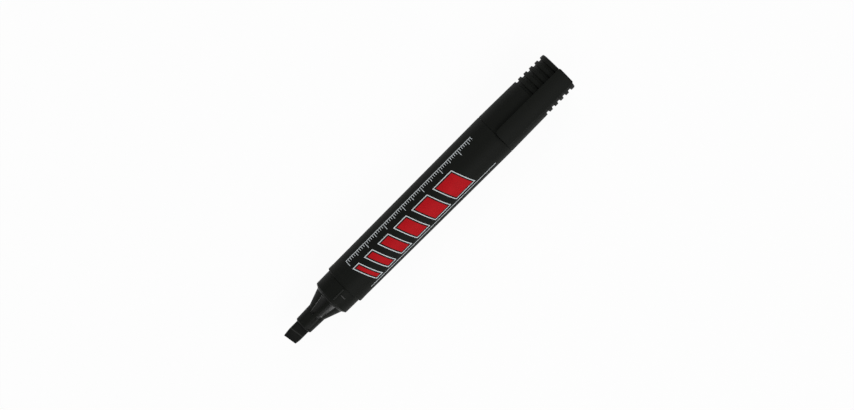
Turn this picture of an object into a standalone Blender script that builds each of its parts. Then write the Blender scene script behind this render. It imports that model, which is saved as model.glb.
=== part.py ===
"""A broad chisel-tip marker, lying on its side with its cap pushed onto its tail.

Every piece is modelled round a local Z axis that runs from the nib (-Z) to the tail (+Z), with
z = 0 at the barrel's front rim and "up" along local -X. The marker empty lays that axis along
world +X, so that the marker lies on z = 0 with its clip on top.
"""

import math

import bmesh
import bpy
from mathutils import Vector

MM = 0.001

# Fits between pieces
SEAT_GAP = 0.25 * MM
PRESS_GAP = 0.15 * MM
CAP_GAP = 0.15 * MM
NIB_GAP = 0.15 * MM

# Barrel
BARREL_LENGTH = 82.0 * MM
BARREL_BORE = 14.1 * MM
SPIGOT_WALL = 1.0 * MM
FRONT_STEP = 0.6 * MM
RIM_ROUND = 0.35 * MM
BARREL_RIB_COUNT = 6
BARREL_RIB_HEIGHT = 0.5 * MM
BARREL_RIB_WIDTH = 0.9 * MM

# Nib holder: sleeve in the barrel, collar that the cap grips, cone and snout
SLEEVE_LENGTH = 9.0 * MM
SLEEVE_WALL = 1.2 * MM
HUB_LENGTH = 5.5 * MM
HUB_WALL = 0.9 * MM
WEB_THICKNESS = 2.0 * MM
COLLAR_LENGTH = 7.9 * MM
COLLAR_TAPER = 0.1 * MM
COLLAR_CHAMFER = 0.9 * MM
COLLAR_NOSE_DIAMETER = 13.2 * MM
BEAD_PLACE = 4.0 * MM
BEAD_HEIGHT = 0.2 * MM
BEAD_WIDTH = 1.0 * MM
KEY_RIB_WIDTH = 0.5 * MM
KEY_RIB_HEIGHT = 0.15 * MM
CONE_LENGTH = 7.0 * MM
CONE_ROOT_DIAMETER = 12.9 * MM
CONE_FILLET = 0.25 * MM
SNOUT_LENGTH = 7.7 * MM
SNOUT_WALL = 0.55 * MM
SNOUT_TAPER = 0.25 * MM
SNOUT_CHAMFER = 0.4 * MM

# Moulded pockets in the cone and the shallow grooves in front of them
POCKET_RIB_WIDTH = 1.3 * MM
POCKET_FLOOR_WALL = 0.45 * MM
POCKET_FRONT_WIDTH = 1.85 * MM
POCKET_REAR_WIDTH = 3.0 * MM
POCKET_LEAD = 0.6 * MM
POCKET_REAR_WALL = 0.45 * MM
GROOVE_RISE = 0.4 * MM
GROOVE_LIP = 0.6 * MM

# Nib
NIB_WIDTH = 6.0 * MM
NIB_THICKNESS = 3.6 * MM
NIB_CORNER = 0.9 * MM
NIB_REACH = 7.3 * MM
NIB_TIP_WIDTH = 5.2 * MM
NIB_BEVEL_LENGTH = 3.7 * MM
NIB_EDGE_THICKNESS = 0.8 * MM
NIB_EDGE_SLANT = math.radians(8.5)
NIB_DIP = 8.0 * MM
NIB_SPEAR_LENGTH = 7.0 * MM
NIB_SPEAR_TIP = 1.6 * MM

# Ink reservoir and its film
FILM_WALL = 0.25 * MM
FILM_OVERHANG = 0.4 * MM

# Tail plug
PLUG_DEPTH = 5.5 * MM
PLUG_WALL = 1.1 * MM
PLUG_FLOOR = 1.2 * MM
PLUG_FLANGE = 0.7 * MM
PLUG_FLANGE_INSET = 0.3 * MM
SPACER_REACH = 2.6 * MM
SPACER_THICKNESS = 1.0 * MM

# Cap
CAP_WALL = 0.95 * MM
CAP_TAPER = 0.5 * MM
CAP_END_WALL = 1.8 * MM
CAP_END_ROUND = 0.5 * MM
TIP_CLEARANCE = 1.8 * MM
GRIP_GROOVE_COUNT = 5
GRIP_PITCH = 2.97 * MM
GRIP_GROOVE_WIDTH = 1.75 * MM
GRIP_GROOVE_DEPTH = 0.75 * MM
GRIP_GROOVE_SLOPE = 0.2 * MM
GRIP_RIM = 1.75 * MM
GRIP_WALL = 0.9 * MM
BEAD_GROOVE_GAP = 0.1 * MM

# Sealing liner inside the cap
LINER_STEP = 0.4 * MM
LINER_WALL = 0.75 * MM
LINER_FLOOR = 1.0 * MM
LIP_CLEARANCE = 0.45 * MM

# Pocket clip, moulded with the cap
CLIP_WIDTH = 8.0 * MM
CLIP_THICKNESS = 1.2 * MM
CLIP_GAP = 0.6 * MM
CLIP_ROOT_LENGTH = 5.0 * MM
CLIP_CORNER = 1.4 * MM
CLIP_END_INSET = 0.05 * MM
CLIP_NUB_LENGTH = 1.6 * MM
CLIP_NUB_HEIGHT = 0.35 * MM

# How the pieces are turned about the axis, measured from straight up
HOLDER_ROLL = math.radians(5.0)
CLIP_ROLL = math.radians(19.0)

# Roundness
TURN_STEPS = 32
ARC_STEPS = 4
CORNER_STEPS = 3
SMOOTH_ANGLE = math.radians(35.0)

# How far a cutter reaches past what it cuts, and a joined shape into what carries it
OVERCUT = 3.0 * MM
BITE = 0.35 * MM

# Radii that several pieces share
bore_r = BARREL_BORE / 2
spigot_r = bore_r + SPIGOT_WALL
cap_bore_r = spigot_r + CAP_GAP
mouth_r = cap_bore_r + CAP_WALL
barrel_front_r = spigot_r + FRONT_STEP
snout_front_r = NIB_WIDTH / 2 + NIB_GAP + SNOUT_WALL
snout_rear_r = snout_front_r + SNOUT_TAPER
collar_front_r = spigot_r - COLLAR_TAPER
nose_r = COLLAR_NOSE_DIAMETER / 2
cone_root_r = CONE_ROOT_DIAMETER / 2
film_r = bore_r - BARREL_RIB_HEIGHT - PRESS_GAP
core_r = film_r - FILM_WALL - PRESS_GAP
cap_end_r = mouth_r - CAP_TAPER
liner_bore_r = cap_bore_r - LINER_STEP
liner_end_bore_r = cap_end_r - GRIP_GROOVE_DEPTH - GRIP_WALL
lip_r = liner_bore_r - PRESS_GAP - LINER_WALL

# Stations along the axis, from the nib to the cap's closed end
collar_front_z = -COLLAR_LENGTH
cone_front_z = collar_front_z - CONE_LENGTH
snout_front_z = cone_front_z - SNOUT_LENGTH
tip_z = snout_front_z - NIB_REACH
core_front_z = SLEEVE_LENGTH + SEAT_GAP
nib_rear_z = core_front_z + NIB_DIP
lip_share = (lip_r - nose_r) / (collar_front_r - nose_r)
lip_depth = COLLAR_LENGTH - SEAT_GAP - COLLAR_CHAMFER * lip_share
shoulder_z = BARREL_LENGTH
tail_z = shoulder_z + lip_depth - PLUG_FLANGE - LIP_CLEARANCE
plug_front_z = tail_z - PLUG_DEPTH
core_rear_z = plug_front_z - SPACER_REACH - SEAT_GAP
mouth_z = shoulder_z + SEAT_GAP
lip_z = mouth_z + lip_depth
front_reach = -tip_z - SEAT_GAP
cap_length = front_reach + TIP_CLEARANCE + LINER_FLOOR + SEAT_GAP + CAP_END_WALL
cap_end_z = mouth_z + cap_length
grip_length = GRIP_RIM + GRIP_PITCH * (GRIP_GROOVE_COUNT - 1) + GRIP_GROOVE_WIDTH
liner_step_z = cap_end_z - grip_length - GRIP_WALL
liner_end_z = cap_end_z - CAP_END_WALL

for old in list(bpy.data.objects):
    bpy.data.objects.remove(old)

parts = bpy.data.collections.new("chisel_marker")
cutters = bpy.data.collections.new("chisel_marker_cutters")
bpy.context.scene.collection.children.link(parts)
bpy.context.scene.collection.children.link(cutters)


def empty(name, parent=None, z=0.0):
    """An empty on the marker's axis, which pieces are parented to."""
    obj = bpy.data.objects.new(name, None)
    obj.empty_display_size = BARREL_BORE
    obj.parent = parent
    obj.location.z = z
    parts.objects.link(obj)
    return obj


def add_mesh(name, mesh, collection, parent, roll=0.0):
    """Links a mesh as an object that stands on its parent's axis, turned by roll about it."""
    obj = bpy.data.objects.new(name, mesh)
    obj.parent = parent
    obj.location.z = -axis_z(parent)
    obj.rotation_euler.z = roll
    collection.objects.link(obj)
    if collection is cutters:
        obj.hide_render = True
        obj.display_type = "WIRE"
    return obj


def axis_z(parent):
    """Where a parent empty sits along the marker's axis."""
    return 0.0 if parent is marker else parent.location.z


def evaluated_mesh(obj):
    """A new mesh with the object's modifiers or curve settings applied."""
    bpy.context.view_layer.update()
    graph = bpy.context.evaluated_depsgraph_get()
    return bpy.data.meshes.new_from_object(obj.evaluated_get(graph))


def turned(name, profile, closed, collection, parent, roll=None):
    """A body of revolution. The (radius, z) profile runs down its outer side from the tail end."""
    count = len(profile)
    edges = [(i, i + 1) for i in range(count - 1)]
    if closed:
        edges.append((count - 1, 0))
    mesh = bpy.data.meshes.new(name)
    mesh.from_pydata([(r, 0.0, z) for r, z in profile], edges, [])
    half_step = math.pi / TURN_STEPS
    obj = add_mesh(name, mesh, collection, parent, half_step if roll is None else roll)
    screw = obj.modifiers.new("Turn", "SCREW")
    screw.steps = TURN_STEPS
    screw.render_steps = TURN_STEPS
    screw.use_merge_vertices = True
    screw.merge_threshold = MM / 1000
    return obj


def prism(name, outline, near, far, collection, parent, roll=0.0):
    """A (z, y) outline pushed out along local -X, from near to far above the axis."""
    curve = bpy.data.curves.new(name, "CURVE")
    curve.dimensions = "2D"
    curve.fill_mode = "BOTH"
    curve.extrude = abs(far - near) / 2
    spline = curve.splines.new("POLY")
    spline.points.add(len(outline) - 1)
    spline.use_cyclic_u = True
    for point, (z, y) in zip(spline.points, outline):
        point.co = (z, y, 0.0, 1.0)
    drawn = bpy.data.objects.new(name + "_outline", curve)
    cutters.objects.link(drawn)
    mesh = evaluated_mesh(drawn)
    bpy.data.objects.remove(drawn)
    bm = bmesh.new()
    bm.from_mesh(mesh)
    bmesh.ops.remove_doubles(bm, verts=bm.verts, dist=MM / 1000)
    for vert in bm.verts:
        z, y, height = vert.co
        vert.co = (-(near + far) / 2 - height, y, z)
    bmesh.ops.recalc_face_normals(bm, faces=bm.faces)
    bm.to_mesh(mesh)
    bm.free()
    return add_mesh(name, mesh, collection, parent, roll)


def box(bm, x_span, y_span, z_span, turn=0.0):
    """Adds a box between the given limits to a bmesh, turned about the axis."""
    made = bmesh.ops.create_cube(bm, size=1.0)["verts"]
    spans = (x_span, y_span, z_span)
    size = Vector([high - low for low, high in spans])
    middle = Vector([(low + high) / 2 for low, high in spans])
    for vert in made:
        vert.co = Vector([c * s for c, s in zip(vert.co, size)]) + middle
    cos, sin = math.cos(turn), math.sin(turn)
    for vert in made:
        x, y, z = vert.co
        vert.co = (x * cos - y * sin, x * sin + y * cos, z)
    return made


def mesh_from(name, bm):
    """Turns a finished bmesh into a mesh."""
    bmesh.ops.recalc_face_normals(bm, faces=bm.faces)
    mesh = bpy.data.meshes.new(name)
    bm.to_mesh(mesh)
    bm.free()
    return mesh


def boolean(obj, tool, operation):
    """Cuts, joins or trims an object with another."""
    modifier = obj.modifiers.new(operation.title(), "BOOLEAN")
    modifier.operation = operation
    modifier.object = tool


def finish(obj, material):
    """Applies the modifiers, shades the round faces smooth and sets the material."""
    mesh = evaluated_mesh(obj)
    obj.modifiers.clear()
    obj.data = mesh
    mesh.shade_smooth()
    mesh.set_sharp_from_angle(angle=SMOOTH_ANGLE)
    mesh.materials.clear()
    mesh.materials.append(material)


def surface(name, colour, roughness):
    """A Principled material of one colour."""
    material = bpy.data.materials.new(name)
    material.use_nodes = True
    shader = material.node_tree.nodes["Principled BSDF"]
    shader.inputs["Base Color"].default_value = (*colour, 1.0)
    shader.inputs["Roughness"].default_value = roughness
    shader.inputs["Metallic"].default_value = 0.0
    return material


def arc(centre, radius, start, end, steps):
    """Points on an arc between two angles in degrees, both ends included."""
    angles = [math.radians(start + (end - start) * i / steps) for i in range(steps + 1)]
    return [(centre[0] + radius * math.cos(a), centre[1] + radius * math.sin(a)) for a in angles]


def slice_off(bm, point, normal):
    """Cuts away what lies beyond a plane and closes the cut."""
    geometry = bm.verts[:] + bm.edges[:] + bm.faces[:]
    cut = bmesh.ops.bisect_plane(
        bm, geom=geometry, plane_co=point, plane_no=normal, clear_outer=True, dist=MM / 10000
    )
    rim = [e for e in cut["geom_cut"] if isinstance(e, bmesh.types.BMEdge)]
    bmesh.ops.contextual_create(bm, geom=rim)


def nib_bar(grow):
    """The nib's rounded bar, from its tip to the end of its spear, grown by a clearance."""
    half_width = NIB_WIDTH / 2 + grow
    half_depth = NIB_THICKNESS / 2 + grow
    bm = bmesh.new()
    box(bm, (-half_depth, half_depth), (-half_width, half_width), (tip_z - grow, nib_rear_z + grow))
    long_edges = [e for e in bm.edges if abs(e.verts[0].co.z - e.verts[1].co.z) > MM]
    bmesh.ops.bevel(
        bm, geom=long_edges, offset=NIB_CORNER + grow, segments=CORNER_STEPS, profile=0.5,
        affect="EDGES",
    )
    spear_z = nib_rear_z - NIB_SPEAR_LENGTH
    spear_half = NIB_SPEAR_TIP / 2 + grow
    for axis, half in ((Vector((1, 0, 0)), half_depth), (Vector((0, 1, 0)), half_width)):
        lean = (half - spear_half) / NIB_SPEAR_LENGTH
        for side in (1, -1):
            start = axis * (side * half) + Vector((0, 0, spear_z))
            slice_off(bm, start, axis * side + Vector((0, 0, lean)))
    return bm


def chisel(bm):
    """Cuts the slanted edge, its two bevels and the narrowing sides at the nib's tip."""
    rise = math.tan(NIB_EDGE_SLANT)
    lead = Vector((0, NIB_TIP_WIDTH / 2, tip_z))
    slice_off(bm, lead, Vector((0, -rise, -1)))
    half_edge = NIB_EDGE_THICKNESS / 2
    steep = (NIB_THICKNESS / 2 - half_edge) / NIB_BEVEL_LENGTH
    narrow = (NIB_WIDTH - NIB_TIP_WIDTH) / 2 / NIB_REACH
    for side in (1, -1):
        slice_off(bm, lead + Vector((side * half_edge, 0, 0)), Vector((side, -steep * rise, -steep)))
        slice_off(bm, Vector((0, side * NIB_TIP_WIDTH / 2, tip_z)), Vector((0, side, -narrow)))


def collar_r(z):
    """Outer radius of the tapering collar."""
    return spigot_r - COLLAR_TAPER * -z / COLLAR_LENGTH


def bead_points():
    """The snap bead round the collar, from its rear foot to its front foot."""
    rear_z = -BEAD_PLACE + BEAD_WIDTH / 2
    points = []
    for i in range(2 * ARC_STEPS + 1):
        share = i / (2 * ARC_STEPS)
        z = rear_z - BEAD_WIDTH * share
        points.append((collar_r(z) + BEAD_HEIGHT * math.sin(math.pi * share), z))
    return points


def make_barrel(material):
    """Tapered tube with a spigot at its tail and ribs inside that space out the reservoir."""
    rear_rim = arc((mouth_r - RIM_ROUND, shoulder_z - RIM_ROUND), RIM_ROUND, 90, 0, ARC_STEPS)
    front_rim = arc((barrel_front_r - RIM_ROUND, RIM_ROUND), RIM_ROUND, 0, -90, ARC_STEPS)
    tail_rim = arc((spigot_r - RIM_ROUND, tail_z - RIM_ROUND), RIM_ROUND, 90, 0, ARC_STEPS)
    profile = [(bore_r, tail_z), *tail_rim, (spigot_r, shoulder_z), *rear_rim, *front_rim, (bore_r, 0.0)]
    barrel = turned("barrel", profile, True, parts, marker)
    bm = bmesh.new()
    for i in range(BARREL_RIB_COUNT):
        box(
            bm,
            (bore_r - BARREL_RIB_HEIGHT, bore_r + BITE),
            (-BARREL_RIB_WIDTH / 2, BARREL_RIB_WIDTH / 2),
            (core_front_z, core_rear_z),
            2 * math.pi * i / BARREL_RIB_COUNT,
        )
    ribs = add_mesh("barrel_ribs", mesh_from("barrel_ribs", bm), cutters, marker)
    boolean(barrel, ribs, "UNION")
    finish(barrel, material)


def make_nib_holder(material):
    """Collar, pocketed cone and snout round the nib, with a sleeve that plugs into the barrel."""
    sleeve_r = bore_r - PRESS_GAP
    sleeve_bore_r = sleeve_r - SLEEVE_WALL
    hub_r = NIB_WIDTH / 2 + NIB_GAP + HUB_WALL
    web_z = WEB_THICKNESS - SEAT_GAP
    fillet_z = collar_front_z - CONE_FILLET
    profile = [
        (0.0, HUB_LENGTH),
        (hub_r, HUB_LENGTH),
        (hub_r, web_z),
        (sleeve_bore_r, web_z),
        (sleeve_bore_r, SLEEVE_LENGTH),
        (sleeve_r, SLEEVE_LENGTH),
        (sleeve_r, -SEAT_GAP),
        (spigot_r, -SEAT_GAP),
        *bead_points(),
        (collar_front_r, collar_front_z + COLLAR_CHAMFER),
        (nose_r, collar_front_z),
        (cone_root_r, fillet_z),
        (snout_rear_r, cone_front_z),
        (snout_front_r, snout_front_z + SNOUT_CHAMFER),
        (snout_front_r - SNOUT_CHAMFER, snout_front_z),
        (0.0, snout_front_z),
    ]
    holder = turned("nib_holder", profile, False, parts, marker, HOLDER_ROLL)

    bm = bmesh.new()
    for side in (1, -1):
        box(
            bm,
            sorted((side * (spigot_r + KEY_RIB_HEIGHT), side * (collar_front_r - BITE))),
            (-KEY_RIB_WIDTH / 2, KEY_RIB_WIDTH / 2),
            (collar_front_z + 2 * COLLAR_CHAMFER, -2 * SEAT_GAP),
        )
    key_ribs = add_mesh("key_ribs", mesh_from("key_ribs", bm), cutters, marker, HOLDER_ROLL)
    boolean(holder, key_ribs, "UNION")

    channel = add_mesh("nib_channel", mesh_from("nib_channel", nib_bar(NIB_GAP)), cutters, marker, HOLDER_ROLL)
    boolean(holder, channel, "DIFFERENCE")

    floor = NIB_THICKNESS / 2 + NIB_GAP + POCKET_FLOOR_WALL
    inner = POCKET_RIB_WIDTH / 2
    round_r = POCKET_FRONT_WIDTH / 2
    rear_z = collar_front_z - POCKET_REAR_WALL
    round_z = cone_front_z - POCKET_LEAD + round_r
    for side in (1, -1):
        outline = [(rear_z, inner)]
        outline += arc((round_z, inner + round_r), round_r, 270, 90, 2 * ARC_STEPS)
        outline += [(rear_z, inner + POCKET_REAR_WIDTH)]
        outline = [(z, side * y) for z, y in outline]
        for turn in (0.0, math.pi):
            name = "pocket_%d_%d" % (side, round(math.degrees(turn)))
            pocket = prism(
                name, outline, floor, cone_root_r + OVERCUT, cutters, marker, HOLDER_ROLL + turn
            )
            boolean(holder, pocket, "DIFFERENCE")

    bm = bmesh.new()
    for turn in (0.0, math.pi):
        for side in (1, -1):
            box(
                bm,
                (floor + GROOVE_RISE, cone_root_r + OVERCUT),
                sorted((side * inner, side * (snout_rear_r + OVERCUT))),
                (snout_front_z + GROOVE_LIP, cone_front_z),
                turn,
            )
    grooves = add_mesh("snout_grooves", mesh_from("snout_grooves", bm), cutters, marker, HOLDER_ROLL)
    boolean(holder, grooves, "DIFFERENCE")
    finish(holder, material)


def make_nib(material):
    """Chisel nib of pressed fibre, whose spear dips into the reservoir."""
    bm = nib_bar(0.0)
    chisel(bm)
    nib = add_mesh("nib", mesh_from("nib", bm), parts, marker, HOLDER_ROLL)
    finish(nib, material)


def make_reservoir(core_material, film_material):
    """Fibre core with the hole that the nib's spear presses into it, and its film."""
    profile = [(0.0, core_rear_z), (core_r, core_rear_z), (core_r, core_front_z), (0.0, core_front_z)]
    core = turned("ink_reservoir", profile, False, parts, marker)
    hole = add_mesh("spear_hole", mesh_from("spear_hole", nib_bar(NIB_GAP)), cutters, marker, HOLDER_ROLL)
    boolean(core, hole, "DIFFERENCE")
    finish(core, core_material)

    inner_r = film_r - FILM_WALL
    front_z = core_front_z + FILM_OVERHANG
    rear_z = core_rear_z - FILM_OVERHANG
    profile = [(inner_r, rear_z), (film_r, rear_z), (film_r, front_z), (inner_r, front_z)]
    film = turned("reservoir_film", profile, True, parts, marker)
    finish(film, film_material)


def make_tail_plug(material):
    """Flanged cup pressed into the tail, with a cross inside that holds the reservoir forward."""
    outer_r = bore_r - PRESS_GAP
    inner_r = outer_r - PLUG_WALL
    flange_r = spigot_r - PLUG_FLANGE_INSET
    flange_z = tail_z + SEAT_GAP
    rear_z = flange_z + PLUG_FLANGE
    floor_z = rear_z - PLUG_FLOOR
    flange_rim = arc((flange_r - RIM_ROUND, rear_z - RIM_ROUND), RIM_ROUND, 90, 0, ARC_STEPS)
    profile = [
        (0.0, rear_z),
        *flange_rim,
        (flange_r, flange_z),
        (outer_r, flange_z),
        (outer_r, plug_front_z),
        (inner_r, plug_front_z),
        (inner_r, floor_z),
        (0.0, floor_z),
    ]
    plug = turned("tail_plug", profile, False, parts, marker)
    reach = inner_r + BITE
    half = SPACER_THICKNESS / 2
    for name, x_half, y_half in (("spacer_upright", reach, half), ("spacer_level", half, reach)):
        bm = bmesh.new()
        box(bm, (-x_half, x_half), (-y_half, y_half), (plug_front_z - SPACER_REACH, floor_z + BITE))
        spacer = add_mesh(name, mesh_from(name, bm), cutters, marker)
        boolean(plug, spacer, "UNION")
    finish(plug, material)


def cap_r(z):
    """Outer radius of the tapering cap."""
    return mouth_r - CAP_TAPER * (z - mouth_z) / cap_length


def grip_points():
    """The grip grooves near the cap's closed end, from the end towards the mouth."""
    points = []
    for i in range(GRIP_GROOVE_COUNT):
        rear_z = cap_end_z - GRIP_RIM - GRIP_PITCH * i
        front_z = rear_z - GRIP_GROOVE_WIDTH
        floor_r = cap_r((rear_z + front_z) / 2) - GRIP_GROOVE_DEPTH
        points += [
            (cap_r(rear_z), rear_z),
            (floor_r, rear_z - GRIP_GROOVE_SLOPE),
            (floor_r, front_z + GRIP_GROOVE_SLOPE),
            (cap_r(front_z), front_z),
        ]
    return points


def make_clip():
    """The clip as a curved tongue, round the cap's axis, with a root that fills the grip grooves."""
    under_r = mouth_r + CLIP_GAP
    outer_r = under_r + CLIP_THICKNESS
    root_r = liner_end_bore_r + GRIP_WALL / 2
    end_z = cap_end_z - CLIP_END_INSET
    root_z = cap_end_z - CLIP_ROOT_LENGTH
    nub_z = mouth_z + CLIP_NUB_LENGTH
    profile = [
        (root_r, end_z),
        *arc((outer_r - CAP_END_ROUND, end_z - CAP_END_ROUND), CAP_END_ROUND, 90, 0, ARC_STEPS),
        *arc((outer_r - CAP_END_ROUND, mouth_z + CAP_END_ROUND), CAP_END_ROUND, 0, -90, ARC_STEPS),
        (under_r, mouth_z),
        (under_r - CLIP_NUB_HEIGHT, nub_z),
        (under_r - CLIP_NUB_HEIGHT, nub_z + CLIP_NUB_LENGTH / 2),
        (under_r, nub_z + CLIP_NUB_LENGTH),
        (under_r, root_z),
        (root_r, root_z),
    ]
    clip = turned("clip", profile, True, cutters, cap_axis, CLIP_ROLL)
    half = CLIP_WIDTH / 2
    round_z = mouth_z + CLIP_CORNER
    outline = [(cap_end_z + OVERCUT, half), (cap_end_z + OVERCUT, -half)]
    outline += arc((round_z, -half + CLIP_CORNER), CLIP_CORNER, 270, 180, ARC_STEPS)
    outline += arc((round_z, half - CLIP_CORNER), CLIP_CORNER, 180, 90, ARC_STEPS)
    tongue = prism("clip_outline", outline, 0.0, outer_r + OVERCUT, cutters, cap_axis, CLIP_ROLL)
    boolean(clip, tongue, "INTERSECT")
    return clip


def make_cap(material):
    """Cap with grip grooves, a bore that snaps over the collar's bead, and the clip."""
    bead_z = mouth_z + BEAD_PLACE - SEAT_GAP
    bead_groove_r = spigot_r + BEAD_HEIGHT + BEAD_GROOVE_GAP
    end_round = arc(
        (cap_end_r - CAP_END_ROUND, cap_end_z - CAP_END_ROUND), CAP_END_ROUND, 90, 0, ARC_STEPS
    )
    profile = [
        (0.0, cap_end_z),
        *end_round,
        *grip_points(),
        (mouth_r, mouth_z),
        (cap_bore_r, mouth_z),
        (cap_bore_r, bead_z - BEAD_WIDTH),
        (bead_groove_r, bead_z - BEAD_WIDTH / 2),
        (bead_groove_r, bead_z + BEAD_WIDTH / 2),
        (cap_bore_r, bead_z + BEAD_WIDTH),
        (cap_bore_r, lip_z),
        (liner_bore_r, lip_z),
        (liner_bore_r, liner_step_z),
        (liner_end_bore_r, liner_step_z),
        (liner_end_bore_r, liner_end_z),
        (0.0, liner_end_z),
    ]
    cap = turned("cap", profile, False, parts, cap_axis)
    boolean(cap, make_clip(), "UNION")
    finish(cap, material)


def make_inner_cap(material):
    """Stepped liner pressed into the cap; its lip seals on the collar's chamfer."""
    outer_r = liner_bore_r - PRESS_GAP
    end_outer_r = liner_end_bore_r - PRESS_GAP
    end_inner_r = end_outer_r - LINER_WALL
    end_z = liner_end_z - SEAT_GAP
    step_z = liner_step_z - SEAT_GAP
    profile = [
        (0.0, end_z),
        (end_outer_r, end_z),
        (end_outer_r, step_z),
        (outer_r, step_z),
        (outer_r, lip_z),
        (lip_r, lip_z),
        (lip_r, step_z - LINER_FLOOR),
        (end_inner_r, step_z - LINER_FLOOR),
        (end_inner_r, end_z - LINER_FLOOR),
        (0.0, end_z - LINER_FLOOR),
    ]
    liner = turned("inner_cap", profile, False, parts, cap_axis)
    finish(liner, material)


# The axis lies along +X, high enough for the widest flat of the barrel to rest on z = 0
marker = empty("marker")
marker.rotation_euler.y = math.pi / 2
marker.location = (-(tip_z + cap_end_z) / 2, 0.0, mouth_r * math.cos(math.pi / TURN_STEPS))
cap_axis = empty("cap_axis", marker, mouth_z)

black_satin = surface("black_satin_plastic", (0.012, 0.012, 0.012), 0.42)
black_gloss = surface("black_gloss_plastic", (0.011, 0.011, 0.012), 0.28)
felt_black = surface("inked_felt", (0.014, 0.014, 0.015), 0.8)
fibre = surface("inked_fibre", (0.03, 0.03, 0.035), 0.95)
clear_film = surface("film", (0.75, 0.76, 0.78), 0.25)
liner_plastic = surface("liner_plastic", (0.8, 0.8, 0.78), 0.4)

make_barrel(black_satin)
make_nib_holder(black_gloss)
make_nib(felt_black)
make_reservoir(fibre, clear_film)
make_tail_plug(black_satin)
make_cap(black_satin)
make_inner_cap(liner_plastic)
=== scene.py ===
import math

import bmesh
import bpy
from mathutils import Matrix, Vector


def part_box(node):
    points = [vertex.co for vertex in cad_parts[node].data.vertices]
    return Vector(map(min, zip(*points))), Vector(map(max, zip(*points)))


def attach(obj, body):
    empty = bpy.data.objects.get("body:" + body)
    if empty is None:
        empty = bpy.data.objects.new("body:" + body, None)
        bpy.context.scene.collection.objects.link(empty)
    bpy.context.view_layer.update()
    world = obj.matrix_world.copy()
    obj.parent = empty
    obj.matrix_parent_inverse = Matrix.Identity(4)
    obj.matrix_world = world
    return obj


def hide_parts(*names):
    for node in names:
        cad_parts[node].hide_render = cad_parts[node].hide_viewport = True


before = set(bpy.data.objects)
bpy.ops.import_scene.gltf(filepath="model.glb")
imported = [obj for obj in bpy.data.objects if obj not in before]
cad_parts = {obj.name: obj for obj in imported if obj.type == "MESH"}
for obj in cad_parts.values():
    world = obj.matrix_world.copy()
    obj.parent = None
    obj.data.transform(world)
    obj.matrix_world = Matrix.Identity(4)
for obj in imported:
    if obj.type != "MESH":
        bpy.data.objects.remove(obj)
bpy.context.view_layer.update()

# The barrel is a tapered tube of black polypropylene, injection moulded, with six ribs in its bore
# that keep the reservoir off its wall. A thin lip runs round its front rim, and the narrow spigot
# at its tail carries the cap. Sizes are in millimetres, along the axis and out from it.
MM = 0.001
FULL_TURN = 2 * math.pi
SPIN_STEPS = 144
FILLET_STEPS = 4
SMOOTH_ANGLE = math.radians(32)
MERGE = 1e-7

barrel_low, barrel_high = (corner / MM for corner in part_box("barrel"))
holder_low, holder_high = (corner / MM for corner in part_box("nib_holder"))
plug_low, plug_high = (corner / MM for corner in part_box("tail_plug"))
cap_low, cap_high = (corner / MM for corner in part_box("cap"))
AXIS_Z = (barrel_low.z + barrel_high.z) / 2
SEAT_GAP = 0.25
FACE_GAP = 0.01
BARREL_FRONT = barrel_low.x
BARREL_TAIL = barrel_high.x
SEAM = 0.18
SEAM_DEPTH = 0.17
SEAM_ROUND = 0.03
SHOULDER = cap_low.x - SEAM
FRONT_RADIUS = 8.7
REAR_RADIUS = 9.15
SPIGOT_RADIUS = 8.05
SPIGOT_ROOT_ROUND = 0.1
BORE_RADIUS = 7.05
LIP_LENGTH = 2.2
LIP_HEIGHT = 0.05
RIM_ROUND = 0.35
RIB_COUNT = 6
RIB_STEPS = 3
RIB_HEIGHT = 0.5
RIB_START = holder_high.x + SEAT_GAP
RIB_END = plug_low.x - SEAT_GAP
BLACK_SPECULAR = 0.08
BLACK_DARK = (0.0060, 0.0068, 0.0056)
BLACK_PALE = (0.0088, 0.0098, 0.0082)
# A near-black painted shade for the floors of hollows marked -1, such as the seam groove.
BLACK_PAINTED_SHADE = (0.0008, 0.0009, 0.0007)


def around(x, radius, turn):
    """A point beside the marker's axis, turned from straight up towards -Y."""
    return Vector((x, -radius * math.sin(turn), AXIS_Z + radius * math.cos(turn))) * MM


def rounded(corners, steps=FILLET_STEPS):
    """A profile of (x, radius, mark) points, from corners given as (x, radius, fillet).

    The mark is 1 along a fillet, lightened as wear and a painted highlight; -1 marks a hollow corner,
    in painted shade.
    """
    points = []
    for i, (x, radius, fillet) in enumerate(corners):
        if fillet <= 0:
            points.append((x, radius, fillet))
            continue
        corner = Vector((x, radius))
        back = (Vector(corners[i - 1][:2]) - corner).normalized()
        ahead = (Vector(corners[(i + 1) % len(corners)][:2]) - corner).normalized()
        half = back.angle(ahead) / 2
        centre = corner + (back + ahead).normalized() * fillet / math.sin(half)
        start = corner + back * fillet / math.tan(half) - centre
        sweep = start.angle_signed(corner + ahead * fillet / math.tan(half) - centre)
        for k in range(steps + 1):
            share = k / steps
            place = centre + Matrix.Rotation(-sweep * share, 2) @ start
            points.append((place.x, place.y, math.sin(math.pi * share)))
    return points


def spun(corners, closed=True):
    """A body of revolution about the marker's axis, with the edge mark for wear and painted light."""
    bm = bmesh.new()
    wear_and_painted_light = bm.verts.layers.float.new("wear_and_painted_light")
    verts = []
    for x, radius, wear_and_light_mark in rounded(corners):
        vert = bm.verts.new(around(x, radius, 0.0))
        vert[wear_and_painted_light] = wear_and_light_mark
        verts.append(vert)
    followers = verts[1:] + verts[:1] if closed else verts[1:]
    edges = [bm.edges.new(pair) for pair in zip(verts, followers)]
    bmesh.ops.spin(
        bm, geom=verts + edges, cent=around(0, 0, 0), axis=(1, 0, 0), angle=FULL_TURN,
        steps=SPIN_STEPS, use_merge=True,
    )
    bmesh.ops.remove_doubles(bm, verts=bm.verts, dist=MERGE)
    bmesh.ops.recalc_face_normals(bm, faces=bm.faces)
    return bm


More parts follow.
